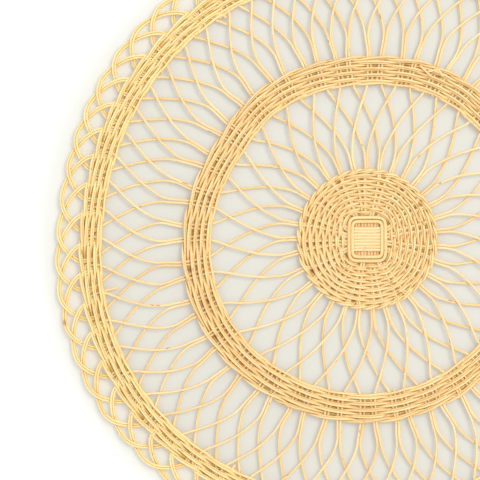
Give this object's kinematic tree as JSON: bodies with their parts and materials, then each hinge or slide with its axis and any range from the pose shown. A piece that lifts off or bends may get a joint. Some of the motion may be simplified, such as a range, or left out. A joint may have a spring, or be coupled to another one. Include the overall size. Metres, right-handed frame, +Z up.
{
  "type": "rattan placemat",
  "caption": "Round openwork rattan placemat that lies flat under a plate, with a tight woven centre, woven bands, open nets of crossing canes and a looped border.",
  "frame": {"origin": "middle of the flat underside, on the surface the mat lies on", "axes": "+Z up out of the woven face; +X and +Y lie in the mat, +X along the upper canes of the centre"},
  "size_m": [0.3796, 0.38, 0.0068],
  "materials": {
    "stakes": "smooth split cane, slightly glossy skin",
    "weavers": "smooth split cane, slightly glossy skin"
  },
  "bodies": {
    "root": {"lower_canes": "stakes", "upper_canes": "stakes", "square_frames": "weavers", "centre_weave": "weavers", "inner_net": "stakes", "middle_band": "weavers", "outer_net": "stakes", "outer_band": "weavers", "looped_border": "stakes"}
  },
  "joints": []
}
